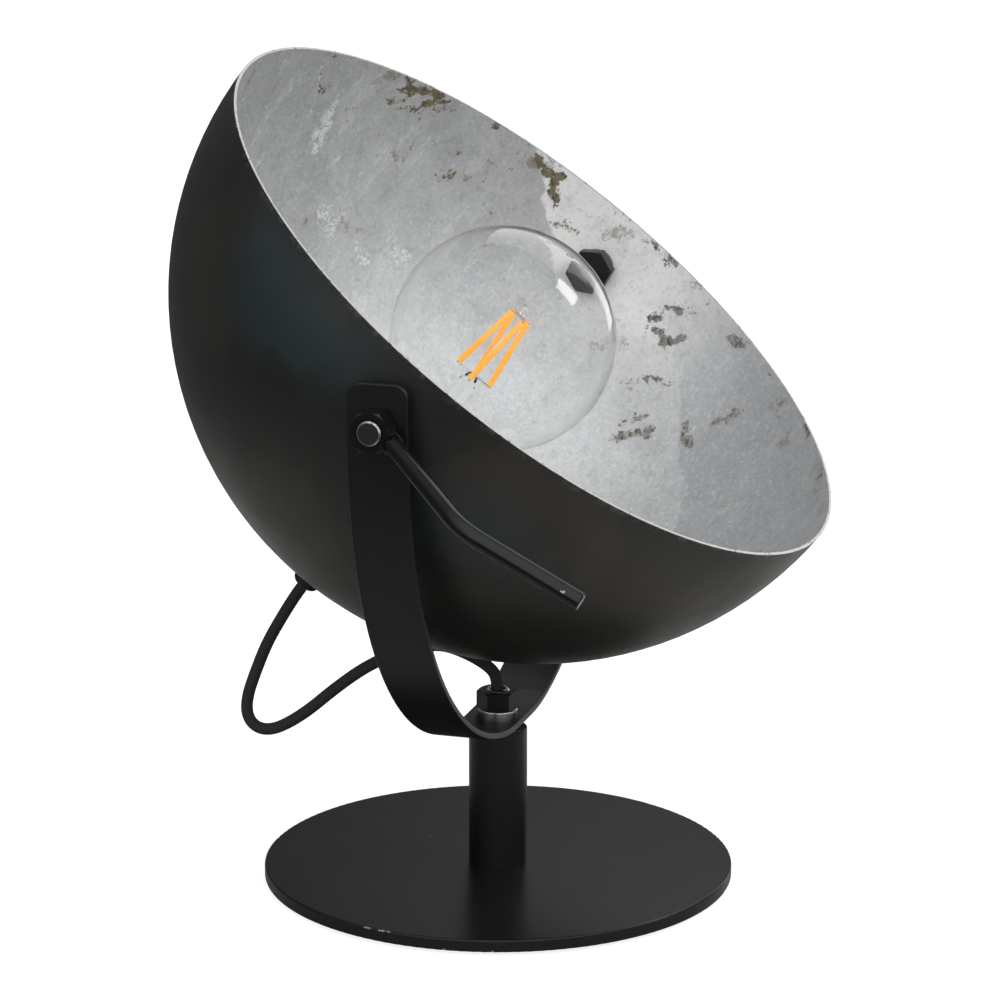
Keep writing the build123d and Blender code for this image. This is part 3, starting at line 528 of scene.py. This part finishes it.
def bolt_finish(name):
    """Blackened bolt whose sawn end has a bright turned edge."""
    finish, tree, shader, where = new_finish(name)
    skin = use_group(tree, PAINT_GRAIN, {"Vector": where, "Grain": 700.0})
    parts = place(tree, "SeparateXYZ", {0: where}).outputs
    high = calc(tree, "SUBTRACT", parts["Z"], PIVOT_HEIGHT)
    across = calc(tree, "MULTIPLY", parts["Y"], parts["Y"])
    upwards = calc(tree, "MULTIPLY", high, high)
    off_axis = calc(tree, "SQRT", calc(tree, "ADD", across, upwards))
    at_end = calc(tree, "LESS_THAN", parts["X"], BOLT_END + SAWN_END_DEPTH)
    outer = spread(tree, off_axis, BRIGHT_EDGE_START, BRIGHT_EDGE_FULL, smooth=True)
    edge = calc(tree, "MULTIPLY", at_end, outer)
    scuffed = spread(tree, noise(tree, where, 900.0, 4.0, 0.7), 0.34, 0.52)
    bright = calc(tree, "MULTIPLY", edge, scuffed)
    black = tint(tree, skin["Drift"], BOLT_BLACK, BOLT_BLACK_WORN)
    end_face = tint(tree, noise(tree, where, 420.0, 4.0, 0.6), BOLT_END_DARK, BOLT_END_PALE)
    colour = tint(tree, at_end, black, end_face)
    colour = tint(tree, bright, colour, BOLT_BRIGHT_EDGE)
    metal = calc(tree, "ADD", calc(tree, "MULTIPLY", at_end, 0.2), bright, clamp=True)
    join(
        tree,
        shader,
        base_color=colour,
        roughness=spread(tree, bright, 0.0, 1.0, 0.42, 0.26),
        metallic=calc(tree, "MULTIPLY", metal, 0.95),
    )
    shader.inputs["Specular IOR Level"].default_value = 0.3
    tree.links.new(bump(tree, skin["Height"], 0.4, 0.00006), shader.inputs["Normal"])
    return finish


def shade_finish():
    """Dark lacquer with spinning lines outside drawn paler as a painted sheen, worn silver leaf inside with a
    painted highlight near the far bolt, and a bare bright rim.
    """
    finish, tree, shader, where = new_finish("shade_lacquer_and_leaf")
    own = place(
        tree,
        "Mapping",
        {"Vector": where, "Location": RIM_CENTRE, "Rotation": (SHADE_TURN, 0, 0)},
        vector_type="TEXTURE",
    ).outputs["Vector"]
    away = place(tree, "VectorMath", {0: own}, operation="LENGTH").outputs["Value"]
    level = place(tree, "SeparateXYZ", {0: own}).outputs
    outside = calc(tree, "GREATER_THAN", away, (SHADE_RADIUS + SHADE_INSIDE) / 2)
    rim = calc(tree, "GREATER_THAN", level["Z"], RIM_FACE)

    # Lacquer: blue-green and brown casts, and fine lines from spinning near the rim, drawn paler as a painted
    # sheen
    drifting = shaken(tree, own, 14.0, 60 * MM)
    teal = worn_level(tree, drifting, TEAL_CASTS)
    brown = worn_level(tree, drifting, BROWN_CASTS)
    cloudy = noise(tree, own, 12.0, 4.0, 0.6)
    lacquer = tint(tree, spread(tree, cloudy, 0.35, 0.65), LACQUER_DARK, LACQUER_PALE)
    lacquer = tint(tree, calc(tree, "MULTIPLY", brown, 0.8), lacquer, LACQUER_BROWN)
    lacquer = tint(tree, calc(tree, "MULTIPLY", teal, 0.85), lacquer, LACQUER_TEAL)
    swing = calc(tree, "SINE", calc(tree, "MULTIPLY", level["Z"], 2 * pi / SPINNING_PITCH))
    wave = calc(tree, "MULTIPLY_ADD", swing, 0.5, 0.5)
    near_rim = calc(
        tree,
        "MULTIPLY",
        spread(tree, level["Z"], SPINNING_START, SPINNING_FULL, smooth=True),
        spread(tree, noise(tree, own, 9.0, 2.0, 0.5), 0.40, 0.62, 0.15, 1.0),
    )
    lines = calc(tree, "MULTIPLY", wave, near_rim)
    # Painted sheen: the spinning lines are mixed towards a paler tone
    lacquer = tint(tree, calc(tree, "MULTIPLY", lines, 0.42), lacquer, LACQUER_LINE_SHEEN)
    speck = spread(tree, noise(tree, own, 520.0, 2.0, 0.5), 0.76, 0.80)
    lacquer = tint(tree, calc(tree, "MULTIPLY", speck, 0.3), lacquer, LACQUER_SPECKS)
    rubs = spread(tree, noise(tree, own, 240.0, 4.0, 0.7), 0.50, 0.62)
    worn_edge = calc(tree, "MULTIPLY", spread(tree, level["Z"], RUBBED_START, RUBBED_FULL), rubs)
    lacquer = tint(tree, calc(tree, "MULTIPLY", worn_edge, 0.6), lacquer, LACQUER_RUBBED)
    lacquer_rough = spread(tree, noise(tree, own, 40.0, 5.0, 0.6), 0.3, 0.7, 0.38, 0.47)

    # Leaf: sheets that differ in tone, two of them with a plain edge, clouds, pale flakes and worn strips;
    # the sheet near the far bolt is lightened and made less metallic as a painted highlight
    torn = shaken(tree, own, 42.0, 13 * MM)
    torn = shaken(tree, torn, 190.0, 7 * MM, 4.0)
    sheets = place(
        tree, "TexVoronoi", {"Vector": torn, "Scale": 11.0, "Randomness": 0.6}, distance="CHEBYCHEV"
    ).outputs["Color"]
    sheet_tone = place(tree, "SeparateColor", {0: sheets}).outputs["Red"]
    leaf = tint(tree, sheet_tone, LEAF_SHEET_DARK, LEAF_SHEET_PALE)
    # Painted highlight: a real sheet with a plain edge, lightened only inside a box near the far bolt where
    # light falls
    sheet_painted_highlight = spread(tree, along(tree, torn, HIGHLIGHT_SHEET_WAY), -SHEET_EDGE, SHEET_EDGE)
    sheet_painted_highlight = calc(tree, "MULTIPLY", sheet_painted_highlight, spread(tree, level["X"], 70 * MM, 125 * MM))
    sheet_painted_highlight = calc(tree, "MULTIPLY", sheet_painted_highlight, spread(tree, level["Y"], -105 * MM, -25 * MM))
    sheet_painted_highlight = calc(tree, "MULTIPLY", sheet_painted_highlight, spread(tree, level["Z"], -62 * MM, -30 * MM))
    leaf = tint(tree, sheet_painted_highlight, leaf, LEAF_SHEET_PAINTED_HIGHLIGHT)
    cool_sheet = spread(tree, along(tree, torn, COOL_SHEET_WAY), -SHEET_EDGE, SHEET_EDGE)
    cool_sheet = calc(tree, "MULTIPLY", cool_sheet, spread(tree, level["Y"], -40 * MM, -85 * MM))
    leaf = tint(tree, calc(tree, "MULTIPLY", cool_sheet, 0.85), leaf, LEAF_COOL_SHEET)
    cloud = noise(tree, own, 16.0, 5.0, 0.6, 0.3)
    leaf = tint(tree, spread(tree, cloud, 0.40, 0.72, 0.0, 0.40), leaf, LEAF_CLOUD)
    mottle = noise(tree, own, 130.0, 5.0, 0.7)
    leaf = tint(tree, spread(tree, mottle, 0.52, 0.74, 0.0, 0.38), leaf, LEAF_MOTTLE_DARK)
    leaf = tint(tree, spread(tree, mottle, 0.46, 0.28, 0.0, 0.28), leaf, LEAF_MOTTLE_PALE)
    fleck = noise(tree, own, 560.0, 4.0, 0.75)
    ragged = noise(tree, own, 210.0, 5.0, 0.7)
    frayed = calc(tree, "MULTIPLY_ADD", fleck, 1.3, calc(tree, "MULTIPLY", ragged, 0.8))
    leaf = tint(tree, spread(tree, fleck, 0.54, 0.68, 0.0, 0.42), leaf, LEAF_FLECK_PALE)
    leaf = tint(tree, spread(tree, fleck, 0.46, 0.32, 0.0, 0.35), leaf, LEAF_FLECK_DARK)
    flakes = worn_level(tree, torn, PALE_FLAKES)
    pale = spread(tree, calc(tree, "MULTIPLY_ADD", flakes, 0.32, frayed), 1.16, 1.44, smooth=True)
    pale = calc(tree, "MULTIPLY", pale, spread(tree, flakes, 0.02, 0.2))
    rubbed = noise(tree, streaked(tree, own, RUBBED_WAY, 22, 62), 1.0, 4.0, 0.6, 0.4)
    fine = noise(tree, streaked(tree, own, RUBBED_WAY, 210, 900), 1.0, 4.0, 0.7)
    high_side = spread(tree, level["Y"], -30 * MM, 70 * MM, 0.3, 0.9)
    scratched = calc(tree, "MULTIPLY", spread(tree, rubbed, 0.53, 0.68), spread(tree, fine, 0.46, 0.62))
    pale = calc(tree, "MAXIMUM", pale, calc(tree, "MULTIPLY", scratched, high_side))
    leaf = tint(tree, calc(tree, "MULTIPLY", pale, 0.7), leaf, LEAF_FLAKE)
    breaks = calc(tree, "ADD", noise(tree, torn, 48.0, 4.0, 0.65), calc(tree, "MULTIPLY", fleck, 0.45))
    edge_breaks = spread(tree, level["Z"], -60 * MM, -1 * MM, 0.0, 0.075)
    broken = spread(tree, calc(tree, "ADD", breaks, edge_breaks), 0.885, 0.935)
    worn = worn_level(tree, torn, WORN_STRIPS)
    gone = spread(tree, calc(tree, "MULTIPLY_ADD", worn, 0.52, frayed), 1.26, 1.42, smooth=True)
    gone = calc(tree, "MULTIPLY", gone, spread(tree, worn, 0.02, 0.18))
    gone = calc(tree, "MAXIMUM", gone, calc(tree, "MULTIPLY", broken, 0.6))
    ground = tint(tree, spread(tree, level["Y"], -45 * MM, 45 * MM), GROUND_GREY, GROUND_OCHRE)
    pits = spread(tree, noise(tree, own, 430.0, 4.0, 0.72), 0.47, 0.60)
    ground = tint(tree, pits, ground, GROUND_PITS)
    leaf = tint(tree, gone, leaf, ground)
    leaf_rough = spread(tree, cloud, 0.3, 0.7, 0.42, 0.55)
    leaf_rough = calc(tree, "ADD", leaf_rough, calc(tree, "MULTIPLY", sheet_tone, 0.05))
    leaf_rough = blend_values(tree, gone, leaf_rough, 0.7)

    # Rim: bare metal with nicks
    nicks = spread(tree, noise(tree, own, 330.0, 4.0, 0.7), 0.55, 0.66)
    edge = tint(tree, nicks, RIM_BARE, RIM_NICKS)

    colour = tint(tree, outside, leaf, lacquer)
    colour = tint(tree, rim, colour, edge)
    # Less metal under the pale flakes, and under the painted highlight near the far bolt so that it looks
    # brighter
    flakes_and_painted_highlight = calc(tree, "MULTIPLY", sheet_painted_highlight, 0.85)
    flakes_and_painted_highlight = calc(tree, "MAXIMUM", flakes_and_painted_highlight, calc(tree, "MULTIPLY", pale, 0.7))
    inside_metal = spread(tree, calc(tree, "MAXIMUM", gone, flakes_and_painted_highlight), 0.0, 1.0, 0.72, 0.15)
    metal = blend_values(tree, outside, inside_metal, 0.25)
    join(
        tree,
        shader,
        base_color=colour,
        roughness=blend_values(tree, outside, leaf_rough, lacquer_rough),
        metallic=calc(tree, "MAXIMUM", metal, calc(tree, "MULTIPLY", rim, 0.9)),
    )
    marks = calc(tree, "ADD", calc(tree, "MULTIPLY", mottle, 0.35), calc(tree, "SUBTRACT", pale, gone))
    height = blend_values(tree, outside, marks, calc(tree, "MULTIPLY", lines, 0.12))
    tree.links.new(bump(tree, height, 0.25, 0.00014), shader.inputs["Normal"])
    return finish


def handled_metal(name, tone, roughness):
    """Plain plated or turned metal with smears and hair scratches."""
    finish, tree, shader, where = new_finish(name)
    marks = use_group(tree, HANDLED_METAL, {"Vector": where})
    colour = tint(tree, marks["Smear"], scaled(tone, 0.8), tone)
    rough = spread(tree, marks["Smear"], 0.0, 1.0, roughness + 0.10, roughness - 0.05)
    join(tree, shader, base_color=colour, roughness=rough, metallic=1.0)
    tree.links.new(bump(tree, marks["Hair"], 0.15, 0.00004), shader.inputs["Normal"])
    return finish


def moulded(name, tone, roughness, specular=0.35, grain=900.0, depth=0.00004):
    """Moulded plastic, rubber or glazed ware: a faint drift of tone, patchy gloss and a fine skin."""
    finish, tree, shader, where = new_finish(name)
    skin = use_group(tree, PAINT_GRAIN, {"Vector": where, "Grain": grain})
    colour = tint(tree, skin["Drift"], scaled(tone, 0.85), scaled(tone, 1.12))
    rough = spread(tree, skin["Gloss"], 0.0, 1.0, roughness - 0.05, roughness + 0.07)
    join(tree, shader, base_color=colour, roughness=rough)
    shader.inputs["Specular IOR Level"].default_value = specular
    tree.links.new(bump(tree, skin["Height"], 0.25, depth), shader.inputs["Normal"])
    return finish


def clear_glass(name):
    """Clear blown glass with a breath of handling on it."""
    finish, tree, shader, where = new_finish(name)
    marks = use_group(tree, HANDLED_METAL, {"Vector": where})
    colour = tint(tree, marks["Smear"], GLASS_SMEARED, GLASS_CLEAR)
    join(tree, shader, base_color=colour, roughness=spread(tree, marks["Smear"], 0.0, 1.0, 0.0, 0.012))
    shader.inputs["IOR"].default_value = GLASS_BEND
    shader.inputs["Transmission Weight"].default_value = 1.0
    return finish


def amber_coat(name):
    """Amber phosphor on the filaments, with a faint painted glow; the bulb itself is not lit."""
    finish, tree, shader, where = new_finish(name)
    grains = noise(tree, where, 1400.0, 3.0, 0.6)
    colour = tint(tree, spread(tree, grains, 0.35, 0.65), AMBER_DEEP, AMBER_PALE)
    rough = spread(tree, grains, 0.3, 0.7, 0.42, 0.55)
    join(tree, shader, base_color=colour, roughness=rough, emission_color=colour)
    # Painted glow of the unlit filaments
    shader.inputs["Emission Strength"].default_value = AMBER_PAINTED_GLOW
    tree.links.new(bump(tree, grains, 0.3, 0.00005), shader.inputs["Normal"])
    return finish


FINISHES = {
    black_paint("base_paint", (0.0060, 0.0060, 0.0060), 0.29, chips=BASE_CHIPS): ["base_plate"],
    black_paint("column_paint", (0.0045, 0.0045, 0.0046), 0.31): ["column_tube"],
    black_paint("strap_paint", (0.0065, 0.0065, 0.0066), 0.37): ["yoke_strap"],
    black_paint("lever_paint", (0.0040, 0.0040, 0.0042), 0.20, 1100.0, 0.00004, LEVER_CHIPS, 0.4): [
        "lever_hub",
        "lever_arm",
    ],
    black_paint("blackened_steel", (0.0070, 0.0070, 0.0072), 0.40, 700.0): [
        "swivel_nut",
        "shade_nut",
        "pivot_washer_left",
        "pivot_washer_right",
    ],
    bolt_finish("bolt_steel"): ["pivot_bolt_left", "pivot_bolt_right"],
    shade_finish(): ["shade"],
    handled_metal("zinc_plate", (0.64, 0.64, 0.62), 0.26): [
        "base_screw",
        "column_foot_plug",
        "column_head_plug",
        "swivel_stud",
        "stud_lock_nut",
        "swivel_spacer",
        "swivel_washer",
        "lock_nut",
        "holder_stud",
        "shade_washer",
    ],
    handled_metal("dark_turned_metal", (0.10, 0.10, 0.104), 0.38): [
        "pivot_seat_left",
        "pivot_seat_right",
        "pivot_spacer_left",
        "pivot_spacer_right",
        "holder_spacer",
    ],
    moulded("pad_rubber", (0.016, 0.016, 0.017), 0.72, 0.3, 1200.0, 0.0001): ["base_pad"],
    moulded("nylon", (0.70, 0.69, 0.64), 0.48): ["friction_washer"],
    moulded("black_plastic", (0.0090, 0.0090, 0.0094), 0.42): [
        "mains_outlet_bush",
        "cord_grip",
        "holder_skirt",
        "holder_dome",
    ],
    moulded("cord_sheath", (0.0065, 0.0065, 0.0068), 0.34): ["holder_lead", "cord_loop"],
    moulded("glazed_ceramic", (0.80, 0.79, 0.75), 0.22, 0.5, 500.0): ["holder_core"],
    handled_metal("brass", (0.76, 0.56, 0.25), 0.26): ["holder_sleeve", "holder_contact", "bulb_contact"],
    clear_glass("clear_glass"): ["bulb_glass", "bulb_stem"],
    handled_metal("cap_metal", (0.72, 0.72, 0.71), 0.25): ["bulb_cap", "bulb_top_wires", "bulb_foot_wires"],
    moulded("cap_insulator", (0.012, 0.012, 0.016), 0.16, 0.5, 500.0): ["bulb_insulator"],
    amber_coat("amber_coat"): ["bulb_filament_1", "bulb_filament_2", "bulb_filament_3", "bulb_filament_4"],
}
for finish, node_names in FINISHES.items():
    for node_name in node_names:
        nodes[node_name].data.materials.clear()
        nodes[node_name].data.materials.append(finish)


def lay_cord():
    """The cord as a smooth tube on its route from the grip on the shade to the swivel stud."""
    line = bpy.data.curves.new("cord_line", "CURVE")
    line.dimensions = "3D"
    spline = line.splines.new("NURBS")
    spline.points.add(len(CORD_ROUTE) - 1)
    for point, (y, z) in zip(spline.points, CORD_ROUTE):
        point.co = (0, y * MM, z * MM, 1)
    spline.order_u = 3
    spline.use_endpoint_u = True
    spline.resolution_u = 10
    guide = bpy.data.objects.new("cord_guide", line)
    scene.collection.objects.link(guide)
    centre_line = bpy.data.meshes.new_from_object(guide)
    line.bevel_depth = CORD_DIAMETER / 2
    line.bevel_resolution = 8
    line.use_fill_caps = True
    cord = bpy.data.objects.new("cord", bpy.data.meshes.new_from_object(guide))
    scene.collection.objects.link(cord)
    bpy.data.objects.remove(guide)
    cord.data.materials.clear()
    cord.data.materials.append(bpy.data.materials["cord_sheath"])
    cord.data.shade_smooth()
    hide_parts("cord_loop")
    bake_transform(cord)


lay_cord()


def soft_light(name, where, aim, width, height, power):
    """A soft rectangular light that faces its aim."""
    lamp = bpy.data.lights.new(name, "AREA")
    lamp.shape = "RECTANGLE"
    lamp.size = width
    lamp.size_y = height
    lamp.energy = power
    made = bpy.data.objects.new(name, lamp)
    made.location = where
    made.rotation_euler = (Vector(aim) - Vector(where)).to_track_quat("-Z", "Y").to_euler()
    scene.collection.objects.link(made)


def studio():
    """Pale table top in a dim room, soft lights and the camera."""
    bpy.ops.object.select_all(action="DESELECT")
    bpy.ops.mesh.primitive_plane_add(size=FLOOR_SIZE)
    floor = bpy.context.object
    floor.name = "studio_floor"
    finish, tree, shader, where = new_finish("pale_floor")
    seen = place(tree, "LightPath").outputs["Is Camera Ray"]
    out = place(tree, "VectorMath", {0: where}, operation="LENGTH").outputs["Value"]
    far = spread(tree, out, 0.30, 0.65, smooth=True)
    pale = tint(tree, noise(tree, where, 3.0, 2.0), FLOOR_SEEN_DARK, FLOOR_SEEN_PALE)
    behind = spread(tree, along(tree, where, (1, 0, 0)), 0.05, 0.30, smooth=True)
    dim = tint(tree, far, tint(tree, behind, FLOOR_NEAR, FLOOR_BEHIND), FLOOR_FAR)
    join(tree, shader, base_color=tint(tree, seen, dim, pale), roughness=0.9)
    join(tree, shader, emission_color=(1, 1, 1, 1))
    join(tree, shader, emission_strength=calc(tree, "MULTIPLY", seen, FLOOR_GLOW))
    shader.inputs["Specular IOR Level"].default_value = 0.1
    floor.data.materials.append(finish)

    scene.world = bpy.data.worlds.new("studio_air")
    scene.world.use_nodes = True
    air_tree = scene.world.node_tree
    air = air_tree.nodes["Background"]
    air_seen = place(air_tree, "LightPath").outputs["Is Camera Ray"]
    facing = along(air_tree, place(air_tree, "TexCoord").outputs["Generated"], SKY_WAY)
    glow = spread(air_tree, facing, -0.1, 1.0, SKY_DIM, SKY_BRIGHT, smooth=True)
    air_tree.links.new(blend_values(air_tree, air_seen, glow, 1.0), air.inputs["Strength"])
    air.inputs["Color"].default_value = AIR_COLOUR
    for softbox in SOFTBOXES:
        soft_light(*softbox)

    lens = bpy.data.cameras.new("photo_camera")
    lens.lens = CAMERA_LENS
    lens.sensor_width = CAMERA_SENSOR
    camera = bpy.data.objects.new("photo_camera", lens)
    camera.location = CAMERA_PLACE
    camera.rotation_euler = (CAMERA_AIM - CAMERA_PLACE).to_track_quat("-Z", "Y").to_euler()
    scene.collection.objects.link(camera)
    scene.camera = camera
    scene.view_settings.view_transform = "Standard"


studio()
